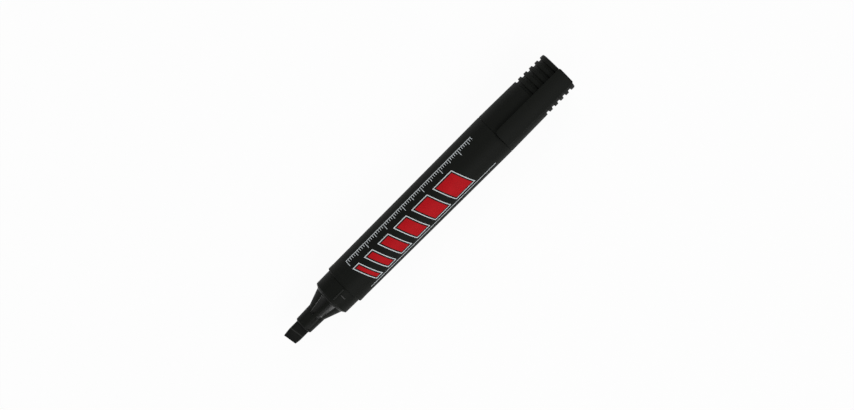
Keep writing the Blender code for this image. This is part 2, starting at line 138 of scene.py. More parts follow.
def split(bm, point, normal):
    """Adds edges where a plane crosses the mesh."""
    geometry = bm.verts[:] + bm.edges[:] + bm.faces[:]
    bmesh.ops.bisect_plane(bm, geom=geometry, plane_co=point, plane_no=normal, dist=MERGE)


def off_axis(point):
    """How far a point of a mesh lies from the marker's axis, and its turn about it."""
    across, up = point.y / MM, point.z / MM - AXIS_Z
    return math.hypot(across, up), math.atan2(-across, up)


def solid(name, bm):
    """Makes an object of a finished bmesh."""
    mesh = bpy.data.meshes.new(name)
    bm.to_mesh(mesh)
    bm.free()
    obj = bpy.data.objects.new(name, mesh)
    bpy.context.scene.collection.objects.link(obj)
    return obj


def dress(obj, material, body, slot, *nodes):
    """Gives a finished piece its shading, material and body, and hides the CAD parts it replaces."""
    obj.data.shade_smooth()
    obj.data.set_sharp_from_angle(angle=SMOOTH_ANGLE)
    obj.data.materials.clear()
    obj.data.materials.append(material)
    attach(obj, body)
    if nodes:
        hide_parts(*nodes)


class Wire:
    """A shader socket. Arithmetic on it adds Math nodes to its tree."""

    def __init__(self, socket):
        self.socket = socket
        self.tree = socket.id_data

    def add(self, kind, settings, inputs, output=0):
        """Adds any node, with its settings first and then the values or wires of its inputs."""
        node = self.tree.nodes.new(kind)
        for name, value in settings.items():
            setattr(node, name, value)
        for name, value in inputs.items():
            if isinstance(value, Wire):
                self.tree.links.new(value.socket, node.inputs[name])
            else:
                node.inputs[name].default_value = value
        return Wire(node.outputs[output])

    def math(self, operation, left, right=0.0):
        return self.add("ShaderNodeMath", {"operation": operation}, {0: left, 1: right})

    def __add__(self, other):
        return self.math("ADD", self, other)

    __radd__ = __add__

    def __sub__(self, other):
        return self.math("SUBTRACT", self, other)

    def __rsub__(self, other):
        return self.math("SUBTRACT", other, self)

    def __mul__(self, other):
        return self.math("MULTIPLY", self, other)

    __rmul__ = __mul__

    def __abs__(self):
        return self.math("ABSOLUTE", self)

    def noise(self, scale, detail=2.0, stretch=(1.0, 1.0, 1.0)):
        """Noise over these coordinates, drawn out along an axis by a small stretch value."""
        mapped = self.add("ShaderNodeMapping", {}, {"Vector": self, "Scale": stretch})
        return self.add("ShaderNodeTexNoise", {}, {"Vector": mapped, "Scale": scale, "Detail": detail})

    def ramp(self, low, high, start=0.0, end=1.0):
        """Goes from start to end while this length goes from low to high, in millimetres."""
        limits = {0: self, 1: low * MM, 2: high * MM, 3: start, 4: end}
        return self.add("ShaderNodeMapRange", {}, limits)

    def bump(self, strength, depth, **base):
        """A normal that this height bends, with a depth in millimetres."""
        inputs = {"Strength": strength, "Distance": depth * MM, "Height": self, **base}
        return self.add("ShaderNodeBump", {}, inputs)

    def blend(self, low, high):
        """A colour between two, by this factor."""
        low, high = (end if isinstance(end, Wire) else (*end, 1.0) for end in (low, high))
        return self.add("ShaderNodeMix", {"data_type": "RGBA"}, {0: self, 6: low, 7: high}, 2)


def new_finish(name):
    """A new material: itself, its Principled shader and its Object coordinates."""
    material = bpy.data.materials.new(name)
    material.use_nodes = True
    tree = material.node_tree
    shader = tree.nodes["Principled BSDF"]
    place = Wire(tree.nodes.new("ShaderNodeTexCoord").outputs["Object"])
    return material, shader, place


def feed(shader, **sockets):
    """Sets or links a shader's sockets, whose names are written with _ for a space."""
    for name, value in sockets.items():
        socket = shader.inputs[name.replace("_", " ")]
        if isinstance(value, Wire):
            value.tree.links.new(value.socket, socket)
        else:
            socket.default_value = value


def moulded_black(name, roughness, grain_depth, gloss_spread, specular=BLACK_SPECULAR, edge_round=0.0):
    """Moulded black plastic: grain, flow streaks, paler edges (wear and painted highlight) and painted
    shade in hollows.
    """
    material, shader, place = new_finish(name)
    grain = place.noise(5200, 3.0)
    streaks = place.noise(900, stretch=(0.06, 1.0, 1.0))
    patches = place.noise(70)
    wear_and_light_mark = place.add("ShaderNodeAttribute", {"attribute_name": "wear_and_painted_light"}, {}, "Fac")
    # The edge mark lightens fillets, partly as wear and partly as a painted highlight on the rims.
    tone = 0.45 * patches + 0.3 * streaks + 0.25 * grain + 0.35 * wear_and_light_mark
    unevenness = gloss_spread * (patches - 0.5) + 0.5 * gloss_spread * (grain - 0.5)
    base = {}
    if edge_round:
        base["Normal"] = place.add("ShaderNodeBevel", {"samples": 8}, {"Radius": edge_round * MM})
    feed(
        shader,
        # Where the edge mark is -1, the colour goes near-black: painted shade in the hollow.
        Base_Color=(-1.0 * wear_and_light_mark).blend(tone.blend(BLACK_DARK, BLACK_PALE), BLACK_PAINTED_SHADE),
        Roughness=roughness + unevenness - 0.1 * wear_and_light_mark,
        Normal=(grain + 0.4 * streaks).bump(0.5, grain_depth, **base),
        Specular_IOR_Level=specular,
    )
    return material, shader, place


lip_radius = FRONT_RADIUS + LIP_HEIGHT
lip_end = BARREL_FRONT + LIP_LENGTH
taper_start = lip_end + RIM_ROUND
bm = spun([
    (BARREL_FRONT, BORE_RADIUS, RIM_ROUND / 2),
    (BARREL_FRONT, lip_radius, RIM_ROUND),
    (lip_end, lip_radius, RIM_ROUND),
    (taper_start, FRONT_RADIUS, RIM_ROUND),
    (SHOULDER, REAR_RADIUS, SEAM_ROUND),
    # The seam groove's floor corners are marked -1, so its floor is painted near-black as shade.
    (SHOULDER, REAR_RADIUS - SEAM_DEPTH, -1),
    (cap_low.x - FACE_GAP, REAR_RADIUS - SEAM_DEPTH, -1),
    (cap_low.x - FACE_GAP, SPIGOT_RADIUS, SPIGOT_ROOT_ROUND),
    (BARREL_TAIL, SPIGOT_RADIUS, RIM_ROUND),
    (BARREL_TAIL, BORE_RADIUS, RIM_ROUND / 2),
])
for station in (RIB_START, RIB_END):
    split(bm, (station * MM, 0, 0), (1, 0, 0))
rib_faces = []
for face in bm.faces:
    centre = face.calc_center_median()
    radius, turn = off_axis(centre)
    step = int(turn / FULL_TURN * SPIN_STEPS + SPIN_STEPS)
    in_bore = radius < BORE_RADIUS and RIB_START < centre.x / MM < RIB_END
    if in_bore and step % (SPIN_STEPS // RIB_COUNT) < RIB_STEPS:
        rib_faces.append(face)
ribs = bmesh.ops.extrude_face_region(bm, geom=rib_faces)
for vert in (item for item in ribs["geom"] if isinstance(item, bmesh.types.BMVert)):
    radius, turn = off_axis(vert.co)
    vert.co = around(vert.co.x / MM, radius - RIB_HEIGHT, turn)
bmesh.ops.delete(bm, geom=rib_faces, context="FACES_ONLY")
barrel = solid("barrel_tube", bm)
barrel_black, _, _ = moulded_black("barrel_black", roughness=0.6, grain_depth=0.006, gloss_spread=0.12)
dress(barrel, barrel_black, "pen", "barrel_plastic", "barrel")

# The print is a screen-printed gauge of stroke widths on the barrel's upper side, in two inks: red
# strokes from fine to broad, and pale grey frames, a millimetre rule and a border line. Each ink is
# a dried film a few hundredths of a millimetre thick.
INK_PROUD = 0.02
INK_SUNK = 0.03
INK_FOLLOW = 0.5
INK_SKIN = 0.003
INK_ROUGHNESS = 0.6
RED_THIN = (0.36, 0.005, 0.008)
RED_FULL = (0.54, 0.007, 0.013)
PALE_THIN = (0.52, 0.56, 0.57)
PALE_FULL = (0.74, 0.79, 0.81)
STROKE_WIDTHS = (1.6, 2.7, 3.9, 5.2, 6.7, 8.4)
STROKE_START = -34.5
STROKE_GAP = 4.6
STROKE_LOW = -1.3
STROKE_HIGH = 7.3
STROKE_LEAN = math.tan(math.radians(20))
FRAME_GAP = 0.5
FRAME_LINE = 0.34
RULE_START = -36
RULE_END = 31
RULE_BASE = -6.3
RULE_LINE = 0.28
TICK_WIDTH = 0.24
TICK_HEIGHTS = {10: 2.7, 5: 1.9, 1: 1.2}
BORDER_PLACE = 9.3
BORDER_LINE = 0.3


def barrel_radius(x):
    """Outer radius of the tapering barrel."""
    share = (x - taper_start) / (SHOULDER - taper_start)
    return FRONT_RADIUS + (REAR_RADIUS - FRONT_RADIUS) * share


def stroke(start, width, grow=0.0):
    """Corners of a leaning stroke, as (place along, arc across), grown evenly by a margin."""
    side = grow * math.hypot(1, STROKE_LEAN)
    low, high = STROKE_LOW - grow, STROKE_HIGH + grow
    left, right = start - side, start + width + side
    return [
        (left + STROKE_LEAN * low, low),
        (right + STROKE_LEAN * low, low),
        (right + STROKE_LEAN * high, high),
        (left + STROKE_LEAN * high, high),
    ]


def bar(x_low, x_high, low, high):
    """Corners of a straight bar on the barrel's surface."""
    return [(x_low, low), (x_high, low), (x_high, high), (x_low, high)]


def split_across(bm, low, high, step, unit=1.0):
    """Adds edges at even steps across a flat mesh, so that it can be bent round the marker."""
    for i in range(math.ceil(low / step), math.floor(high / step) + 1):
        split(bm, (0, i * step * unit, 0), (0, 1, 0))


def inked(name, outlines, material):
    """Lays flat outlines on the barrel as a thin film of ink."""
    bm = bmesh.new()
    for outline in outlines:
        bm.faces.new([bm.verts.new((x, arc, 0.0)) for x, arc in outline])
    arcs = [arc for outline in outlines for _, arc in outline]
    split_across(bm, min(arcs), max(arcs), INK_FOLLOW)
    for vert in bm.verts:
        x, arc, _ = vert.co
        radius = barrel_radius(x)
        vert.co = around(x, radius + INK_PROUD, arc / radius)
    bmesh.ops.recalc_face_normals(bm, faces=bm.faces)
    bmesh.ops.solidify(bm, geom=bm.faces[:], thickness=(INK_PROUD + INK_SUNK) * MM)
    bmesh.ops.recalc_face_normals(bm, faces=bm.faces)
    dress(solid(name, bm), material, "pen", "barrel_plastic")


def ink(name, thin, full):
    """Screen ink: mottled where the film is thinner, with a fine rough skin."""
    material, shader, place = new_finish(name)
    mottle = place.noise(420, 4.0)
    skin = place.noise(4200)
    feed(
        shader,
        Base_Color=(0.7 * mottle + 0.3 * skin).blend(thin, full),
        Roughness=INK_ROUGHNESS + 0.15 * (skin - 0.5),
        Normal=skin.bump(0.3, INK_SKIN),
        Specular_IOR_Level=BLACK_SPECULAR,
    )
    return material


red_strokes, pale_lines = [], []
start = STROKE_START
for width in STROKE_WIDTHS:
    red_strokes.append(stroke(start, width))
    inner = stroke(start, width, FRAME_GAP)
    outer = stroke(start, width, FRAME_GAP + FRAME_LINE)
    for i in range(4):
        pale_lines.append([outer[i - 1], outer[i], inner[i], inner[i - 1]])
    start += width + STROKE_GAP
half = TICK_WIDTH / 2
for tick in range(RULE_START, RULE_END + 1):
    height = next(high for pitch, high in TICK_HEIGHTS.items() if (tick - RULE_START) % pitch == 0)
    pale_lines.append(bar(tick - half, tick + half, RULE_BASE, RULE_BASE + height))
rule_ends = RULE_START - half, RULE_END + half
pale_lines.append(bar(*rule_ends, RULE_BASE - RULE_LINE, RULE_BASE))
pale_lines.append(bar(*rule_ends, BORDER_PLACE, BORDER_PLACE + BORDER_LINE))
inked("gauge_strokes", red_strokes, ink("red_ink", RED_THIN, RED_FULL))
inked("gauge_lines", pale_lines, ink("pale_ink", PALE_THIN, PALE_FULL))

# The reservoir is a bundle of polyester fibre soaked with black ink, wrapped in a thin clear film and
# slid into the barrel from the tail. The CAD solids have its shape, so they only get their finish.
FIBRE_DARK = (0.008, 0.008, 0.010)
FIBRE_PALE = (0.045, 0.045, 0.052)
STRAND_DEPTH = 0.05
FILM_DULL = (0.60, 0.61, 0.64)
FILM_BRIGHT = (0.78, 0.79, 0.82)
CREASE_DEPTH = 0.05
material, shader, place = new_finish("inked_fibre")
strands = place.noise(2600, 3.0, (0.03, 1.0, 1.0))
feed(
    shader,
    Base_Color=strands.blend(FIBRE_DARK, FIBRE_PALE),
    Roughness=0.8 + 0.2 * strands,
    Normal=strands.bump(0.8, STRAND_DEPTH),
)
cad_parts["ink_reservoir"].material_slots[0].material = material

material, shader, place = new_finish("wrap_film")
creases = place.noise(260, 3.0, (0.25, 1.0, 1.0))
feed(
    shader,
    Base_Color=creases.blend(FILM_DULL, FILM_BRIGHT),
    Roughness=0.12 + 0.2 * creases,
    Normal=creases.bump(0.4, CREASE_DEPTH),
    Transmission_Weight=0.7,
    IOR=1.46,
)
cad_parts["reservoir_film"].material_slots[0].material = material

# The tail plug is a flanged cup of black polypropylene, pressed into the barrel's tail. A cross inside
# it holds the reservoir forward, and the flange covers the spigot's rim.
PLUG_FIT = 0.15
PLUG_WALL = 1.1
PLUG_FLOOR = 1.2
PLUG_FLANGE_INSET = 0.3
PLUG_DEPTH = 5.5
SPACER_THICKNESS = 1.0
SPACER_BITE = 0.35
SAME_DIGITS = 8


def box(x_span, y_span, up_span):
    """A bmesh box between limits given along, across and up from the marker's axis."""
    bm = bmesh.new()
    spans = (x_span, y_span, up_span)
    size = Vector([high - low for low, high in spans]) * MM
    middle = Vector([(low + high) / 2 for low, high in spans]) + Vector((0, 0, AXIS_Z))
    bmesh.ops.create_cube(bm, size=1.0)
    bmesh.ops.scale(bm, vec=size, verts=bm.verts)
    bmesh.ops.translate(bm, vec=middle * MM, verts=bm.verts)
    return bm


def combine(obj, tool, operation):
    """Cuts or joins one object with another, which it uses up. New surfaces carry no edge mark."""
    wear_and_light_mark = obj.data.attributes["wear_and_painted_light"].data
    marks_before = {vert.co.to_tuple(SAME_DIGITS): wear_and_light_mark[vert.index].value for vert in obj.data.vertices}
    modifier = obj.modifiers.new(operation, "BOOLEAN")
    modifier.operation = operation
    modifier.object = tool
    bpy.context.view_layer.update()
    evaluated = obj.evaluated_get(bpy.context.evaluated_depsgraph_get())
    mesh = bpy.data.meshes.new_from_object(evaluated)
    bm = bmesh.new()
    bm.from_mesh(mesh)
    bmesh.ops.remove_doubles(bm, verts=bm.verts, dist=MERGE)
    bmesh.ops.recalc_face_normals(bm, faces=bm.faces)
    wear_and_painted_light = bm.verts.layers.float["wear_and_painted_light"]
    for vert in bm.verts:
        vert[wear_and_painted_light] = marks_before.get(vert.co.to_tuple(SAME_DIGITS), 0.0)
    bm.to_mesh(mesh)
    bm.free()
    obj.modifiers.clear()
    obj.data = mesh
    bpy.data.objects.remove(tool)


plug_radius = BORE_RADIUS - PLUG_FIT
plug_inner = plug_radius - PLUG_WALL
plug_front = BARREL_TAIL - PLUG_DEPTH
flange_front = BARREL_TAIL + SEAT_GAP
flange_radius = SPIGOT_RADIUS - PLUG_FLANGE_INSET
floor_front = plug_high.x - PLUG_FLOOR
plug = solid("tail_plug_cup", spun([
    (plug_high.x, 0, 0),
    (plug_high.x, flange_radius, RIM_ROUND),
    (flange_front, flange_radius, RIM_ROUND / 3),
    (flange_front, plug_radius, 0),
    (plug_front, plug_radius, RIM_ROUND),
    (plug_front, plug_inner, RIM_ROUND),
    (floor_front, plug_inner, RIM_ROUND),
    (floor_front, 0, 0),
], closed=False))
half = SPACER_THICKNESS / 2
reach = plug_inner + SPACER_BITE
for y_half, up_half in ((half, reach), (reach, half)):
    spacer = box((plug_low.x, floor_front + SPACER_BITE), (-y_half, y_half), (-up_half, up_half))
    combine(plug, solid("spacer", spacer), "UNION")
plug_black, _, _ = moulded_black("plug_black", roughness=0.45, grain_depth=0.004, gloss_spread=0.1)
dress(plug, plug_black, "pen", "plug_plastic", "tail_plug")

# The nib holder is one glossy black moulding, pressed into the barrel: a sleeve, a collar with a key
# rib and a short snap lug on each face, and a cone with cored-out pockets beside a middle rib. Its
# snout holds the nib, and has one shallow groove beside the rib on each face.
nib_low, nib_high = (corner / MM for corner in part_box("nib"))
HOLDER_ROLL = math.radians(5)
BOTH_FACES = (0, math.pi)
SLEEVE_WALL = 1.2
SLEEVE_ROUND = 0.3
HUB_END = BARREL_FRONT + 5.5
HUB_WALL = 0.9
HUB_ROUND = 0.2
WEB_END = BARREL_FRONT + 1.75
COLLAR_FRONT = BARREL_FRONT - 7.9
COLLAR_REAR_RADIUS = 8.05
COLLAR_FRONT_RADIUS = 7.95
COLLAR_CHAMFER = 0.75
COLLAR_ROUND = 0.3
COLLAR_NOSE_RADIUS = 6.7
COLLAR_NOSE_ROUND = 0.15
COLLAR_BITE = 0.4
COLLAR_FOLLOW = 0.25
CREST_STEPS = 8
KEY_ROLL = math.radians(7)
KEY_RIB_WIDTH = 0.8
KEY_RIB_HEIGHT = 0.28
KEY_RIB_ROUND = 0.33
LUG_ROLL = math.radians(21.5)
LUG_PLACE = BARREL_FRONT - 3.07
LUG_LENGTH = 3.0
LUG_WIDTH = 1.0
LUG_HEIGHT = 0.2
LUG_ROUND = 0.48
CONE_ROOT_RADIUS = 6.45
CONE_ROOT_ROUND = 0.12
CONE_FILLET = 0.25
CONE_FRONT = COLLAR_FRONT - 7.0
SNOUT_REAR_RADIUS = 4.02
SNOUT_REAR_ROUND = 1.5
SNOUT_FRONT_RADIUS = 3.78
SNOUT_FRONT_ROUND = 0.2
SNOUT_CHAMFER = 0.4
SNOUT_MOUTH_ROUND = 0.1
SNOUT_TAPER = (SNOUT_REAR_RADIUS - SNOUT_FRONT_RADIUS) / (CONE_FRONT - holder_low.x)
NIB_WIDTH = 6.0
NIB_THICKNESS = 3.6
NIB_CORNER = 0.9
NIB_CORNER_STEPS = 6
NIB_SPARE = 1.0
NIB_GAP = 0.15
POCKET_RIB = 1.3
POCKET_FLOOR = 2.6
POCKET_SLOPE = math.tan(math.radians(16.5))
POCKET_CROWN = 7.0
POCKET_FRONT = CONE_FRONT - 1.7
POCKET_REAR = COLLAR_FRONT - 0.45
POCKET_FRONT_WIDTH = 1.85
POCKET_REAR_WIDTH = 3.2
POCKET_SCOOP = (0.7, 0.6)
GROOVE_INNER = 0.9
GROOVE_FLOOR = 2.92
GROOVE_CROWN = 5.5
GROOVE_FRONT = holder_low.x + 0.6
GROOVE_REAR = CONE_FRONT + 0.5
GROOVE_WIDTH = 1.8
GROOVE_SCOOP = (0.2, 0.15)
SLOT_ROUND_STEPS = 12
SCOOP_STEPS = 6
CROWN_STEP = 0.25
OVERCUT = 4.0
HOLDER_SPECULAR = 0.07
RIM_SOFT = 0.15
POCKET_POLISH = 1.0
POLISH_ROUGHNESS = 0.28
SNOUT_POLISH = 0.05
GROOVE_POLISH = 0.1
LUG_POLISH = 0.6
LUG_CLEAR_OF_RIB = 1.5
RIB_POLISH = 0.3
ROOT_POLISH = 0.35
RUBBED_POLISH = 0.18
SUNK_RANGE = (0.05, 0.2)
RAISED_RANGE = (0.03, 0.1)
ROOT_RANGE = (0.15, 0.3)


def rolled(bm, roll):
    """Turns a bmesh about the marker's axis, from up towards -Y."""
    turn = Matrix.Rotation(roll, 3, "X")
    bmesh.ops.rotate(bm, cent=around(0, 0, 0), matrix=turn, verts=bm.verts)
    return bm


def edges_where(bm, test):
    """Edges of a bmesh whose ends both pass a test of their place."""
    return [edge for edge in bm.edges if all(test(vert.co) for vert in edge.verts)]


def fillet_edges(bm, edges, radius, steps):
    """Rounds edges of a bmesh."""
    bmesh.ops.bevel(
        bm, geom=edges, offset=radius * MM, segments=steps, profile=0.5, affect="EDGES", material=-1
    )


def nib_bar(grow):
    """The nib's bar with rounded corners and spare length at its tip, grown by a clearance."""
    width, thick = NIB_WIDTH / 2 + grow, NIB_THICKNESS / 2 + grow
    bm = box((nib_low.x - NIB_SPARE - grow, nib_high.x + grow), (-width, width), (-thick, thick))
    long_edges = [e for e in bm.edges if abs(e.verts[0].co.x - e.verts[1].co.x) > MM]
    fillet_edges(bm, long_edges, NIB_CORNER + grow, NIB_CORNER_STEPS)
    return bm


def slot_cutter(side, inner, front, rear, front_width, rear_width, floor, slope, crown, scoop):
    """A cutter for a slot beside the middle rib, round at its front.

    Its floor rises from the front by a slope, falls away from the rib along a crown, and is scooped
    up to the outer wall.
    """
    bm = bmesh.new()
    scoop_width, scoop_height = scoop
    loops = []
    for i in range(SCOOP_STEPS + 2):
        turn = math.pi / 2 * min(i, SCOOP_STEPS) / SCOOP_STEPS
        height = floor + scoop_height * (1 - math.cos(turn)) + max(0, i - SCOOP_STEPS) * OVERCUT
        inset = scoop_width * (1 - math.sin(turn))
        radius = front_width / 2 * (1 - inset / rear_width)
        outline = [(rear, inner)]
        for k in range(SLOT_ROUND_STEPS + 1):
            turn = math.pi * (0.5 + k / SLOT_ROUND_STEPS)
            x = front + front_width / 2 + radius * math.cos(turn)
            outline.append((x, inner + radius * (1 - math.sin(turn))))
        outline.append((rear, inner + rear_width - inset))
        verts = []
        for x, y in outline:
            up = AXIS_Z + height + slope * (x - front)
            verts.append(bm.verts.new(Vector((x, -side * y, up)) * MM))
        loops.append([bm.edges.new((verts[k - 1], verts[k])) for k in range(len(verts))])
    for low, high in zip(loops, loops[1:]):
        bmesh.ops.bridge_loops(bm, edges=low + high)
    bmesh.ops.holes_fill(bm, edges=loops[0] + loops[-1])
    for i in range(1, math.ceil(rear_width / CROWN_STEP)):
        split(bm, (0, -side * (inner + i * CROWN_STEP) * MM, 0), (0, 1, 0))
    for vert in bm.verts:
        vert.co.z -= (abs(vert.co.y) - inner * MM) ** 2 / (2 * crown * MM)
    bmesh.ops.recalc_face_normals(bm, faces=bm.faces)
    return bm


def collar_bar(x_span, width, height, crest_round, roll):
    """A low bar with a rounded crest, bent round the collar."""
    half = width / 2
    crest = COLLAR_REAR_RADIUS + height
    bm = box(x_span, (-half, half), (COLLAR_FRONT_RADIUS - COLLAR_BITE, crest))
    top = (AXIS_Z + crest) * MM
    fillet_edges(bm, edges_where(bm, lambda co: co.z > top - MERGE), crest_round, CREST_STEPS)
    split_across(bm, -half, half, COLLAR_FOLLOW, MM)
    for vert in bm.verts:
        across, up = vert.co.y / MM, vert.co.z / MM - AXIS_Z
        vert.co = around(vert.co.x / MM, up, roll - across / COLLAR_REAR_RADIUS)
    bmesh.ops.recalc_face_normals(bm, faces=bm.faces)
    return bm


sleeve_radius = BORE_RADIUS - PLUG_FIT
sleeve_inner = sleeve_radius - SLEEVE_WALL
hub_radius = NIB_WIDTH / 2 + NIB_GAP + HUB_WALL
holder = solid("nib_holder_body", spun([
    (HUB_END, 0, 0),
    (HUB_END, hub_radius, HUB_ROUND),
    (WEB_END, hub_radius, HUB_ROUND),
    (WEB_END, sleeve_inner, HUB_ROUND),
    (holder_high.x, sleeve_inner, HUB_ROUND),
    (holder_high.x, sleeve_radius, SLEEVE_ROUND),
    (BARREL_FRONT - FACE_GAP, sleeve_radius, 0),
    (BARREL_FRONT - FACE_GAP, COLLAR_REAR_RADIUS, SEAM_ROUND),
    (COLLAR_FRONT + COLLAR_CHAMFER, COLLAR_FRONT_RADIUS, COLLAR_ROUND),
    (COLLAR_FRONT, COLLAR_NOSE_RADIUS, COLLAR_NOSE_ROUND),
    (COLLAR_FRONT - CONE_FILLET, CONE_ROOT_RADIUS, CONE_ROOT_ROUND),
    (CONE_FRONT, SNOUT_REAR_RADIUS, SNOUT_REAR_ROUND),
    (holder_low.x + SNOUT_CHAMFER, SNOUT_FRONT_RADIUS, SNOUT_FRONT_ROUND),
    (holder_low.x, SNOUT_FRONT_RADIUS - SNOUT_CHAMFER, SNOUT_MOUTH_ROUND),
    (holder_low.x, 0, 0),
], closed=False))
key_ends = COLLAR_FRONT + 2 * COLLAR_CHAMFER, BARREL_FRONT - 2 * SEAT_GAP
lug_ends = LUG_PLACE - LUG_WIDTH / 2, LUG_PLACE + LUG_WIDTH / 2
for turn in BOTH_FACES:
    key_rib = collar_bar(key_ends, KEY_RIB_WIDTH, KEY_RIB_HEIGHT, KEY_RIB_ROUND, KEY_ROLL + turn)
    combine(holder, solid("key_rib", key_rib), "UNION")
    lug = collar_bar(lug_ends, LUG_LENGTH, LUG_HEIGHT, LUG_ROUND, LUG_ROLL + turn)
    combine(holder, solid("snap_lug", lug), "UNION")
combine(holder, solid("nib_channel", rolled(nib_bar(NIB_GAP), HOLDER_ROLL)), "DIFFERENCE")
pocket = {
    "inner": POCKET_RIB / 2,
    "front": POCKET_FRONT,
    "rear": POCKET_REAR,
    "front_width": POCKET_FRONT_WIDTH,
    "rear_width": POCKET_REAR_WIDTH,
    "floor": POCKET_FLOOR,
    "slope": POCKET_SLOPE,
    "crown": POCKET_CROWN,
    "scoop": POCKET_SCOOP,
}
groove = {
    "inner": GROOVE_INNER,
    "front": GROOVE_FRONT,
    "rear": GROOVE_REAR,
    "front_width": GROOVE_WIDTH,
    "rear_width": GROOVE_WIDTH,
    "floor": GROOVE_FLOOR,
    "slope": SNOUT_TAPER,
    "crown": GROOVE_CROWN,
    "scoop": GROOVE_SCOOP,
}
for turn in BOTH_FACES:
    for side, shape in ((1, pocket), (-1, pocket), (1, groove)):
        cutter = rolled(slot_cutter(side, **shape), HOLDER_ROLL + turn)
        combine(holder, solid("slot_cutter", cutter), "DIFFERENCE")

holder_black, shader, place = moulded_black(
    "holder_black", roughness=0.55, grain_depth=0.003, gloss_spread=0.08,
    specular=HOLDER_SPECULAR, edge_round=RIM_SOFT,
)
about_axis = {0: place, 1: (0, 1, 1), 2: -around(0, 0, 0)}
sides = place.add("ShaderNodeVectorMath", {"operation": "MULTIPLY_ADD"}, about_axis)
from_axis = place.add("ShaderNodeVectorMath", {"operation": "LENGTH"}, {0: sides}, "Value")
along = place.add("ShaderNodeSeparateXYZ", {}, {"Vector": place}, "X")
across = place.add("ShaderNodeSeparateXYZ", {}, {"Vector": place}, "Y")
rubbed = place.add("ShaderNodeAttribute", {"attribute_name": "wear_and_painted_light"}, {}, "Fac")
cone_slope = (CONE_ROOT_RADIUS - SNOUT_REAR_RADIUS) / (COLLAR_FRONT - CONE_FRONT)
cone_line = cone_slope * (along - COLLAR_FRONT * MM) + CONE_ROOT_RADIUS * MM
under_root = place.math("MINIMUM", cone_line, CONE_ROOT_RADIUS * MM)
outer_radius = place.math("MAXIMUM", under_root, SNOUT_FRONT_RADIUS * MM)
sunk = (outer_radius - from_axis).ramp(*SUNK_RANGE)
raised = (from_axis - COLLAR_REAR_RADIUS * MM).ramp(*RAISED_RANGE)
at_root = abs(along - (COLLAR_FRONT - CONE_FILLET / 2) * MM).ramp(*ROOT_RANGE, 1.0, 0.0)
behind = place.math("GREATER_THAN", along, POCKET_FRONT * MM)
beside_rib = place.math("GREATER_THAN", abs(across), LUG_CLEAR_OF_RIB * MM)
front_polish = (1 - behind) * (sunk * GROOVE_POLISH + SNOUT_POLISH)
collar_polish = raised * (beside_rib * (LUG_POLISH - RIB_POLISH) + RIB_POLISH)
edge_polish = ROOT_POLISH * at_root + RUBBED_POLISH * rubbed
polish = behind * sunk * POCKET_POLISH + front_polish + collar_polish + edge_polish
feed(shader, Coat_Weight=polish, Coat_Roughness=POLISH_ROUGHNESS)
dress(holder, holder_black, "pen", "holder_plastic", "nib_holder")

# The nib is a bar of pressed polyester fibre soaked with black ink. Its tip is cut to a slanted chisel
# edge with a bevel on each face, and its back end is cut to a spear that dips into the reservoir.
NIB_REACH = 7.74
NIB_TIP = holder_low.x - NIB_REACH
NIB_TIP_WIDTH = 5.3
NIB_TAPER_LENGTH = 3.2
NIB_BEVEL_LENGTH = 4.0
NIB_EDGE_THICKNESS = 0.8
NIB_EDGE_SLANT = math.radians(8.5)
NIB_EDGE_ROUND = 0.12
NIB_EDGE_STEPS = 2
NIB_SHARP_ANGLE = math.radians(20)
SPEAR_LENGTH = 7.0
SPEAR_TIP = 1.6
FELT_DARK = (0.0022, 0.0026, 0.0022)
FELT_PALE = (0.0105, 0.0112, 0.0100)
FELT_RIDGE_HIGHLIGHT = (0.030, 0.031, 0.029)
FELT_DEPTH = 0.04
FELT_SPECULAR = 0.15
RIDGE_RANGE = (0.0, 0.35)


def slice_off(bm, x, across, up, normal):
    """Cuts away what lies beyond a plane through a point, and closes the cut."""
    geometry = bm.verts[:] + bm.edges[:] + bm.faces[:]
    point = Vector((x, across, AXIS_Z + up)) * MM
    cut = bmesh.ops.bisect_plane(
        bm, geom=geometry, plane_co=point, plane_no=normal, clear_outer=True, dist=MERGE
    )
    rim = [e for e in cut["geom_cut"] if isinstance(e, bmesh.types.BMEdge)]
    bmesh.ops.contextual_create(bm, geom=rim)


bm = nib_bar(0.0)
half_width, half_thick, half_edge = NIB_WIDTH / 2, NIB_THICKNESS / 2, NIB_EDGE_THICKNESS / 2
half_tip, half_spear = NIB_TIP_WIDTH / 2, SPEAR_TIP / 2
slant = math.tan(NIB_EDGE_SLANT)
steep = (half_thick - half_edge) / NIB_BEVEL_LENGTH
narrow = (half_width - half_tip) / NIB_TAPER_LENGTH
spear_start = nib_high.x - SPEAR_LENGTH
spear_narrow = (half_width - half_spear) / SPEAR_LENGTH
spear_steep = (half_thick - half_spear) / SPEAR_LENGTH
slice_off(bm, NIB_TIP, half_tip, 0, (-1, -slant, 0))
for side in (1, -1):
    slice_off(bm, NIB_TIP, half_tip, side * half_edge, (-steep, -steep * slant, side))
    slice_off(bm, NIB_TIP, side * half_tip, 0, (-narrow, side, 0))
    slice_off(bm, spear_start, side * half_width, 0, (spear_narrow, side, 0))
    slice_off(bm, spear_start, 0, side * half_thick, (spear_steep, 0, side))
bmesh.ops.recalc_face_normals(bm, faces=bm.faces)
sharp = [e for e in bm.edges if e.calc_face_angle(0.0) > NIB_SHARP_ANGLE]
fillet_edges(bm, sharp, NIB_EDGE_ROUND, NIB_EDGE_STEPS)
nib = solid("nib_chisel", rolled(bm, HOLDER_ROLL))

material, shader, place = new_finish("inked_felt")
fibres = place.noise(3800, 4.0, (0.12, 1.0, 1.0))
clumps = place.noise(900, stretch=(0.4, 1.0, 1.0))
slanted = {0: place, 1: (1, slant, 0)}
past_edge = place.add("ShaderNodeVectorMath", {"operation": "DOT_PRODUCT"}, slanted, "Value")
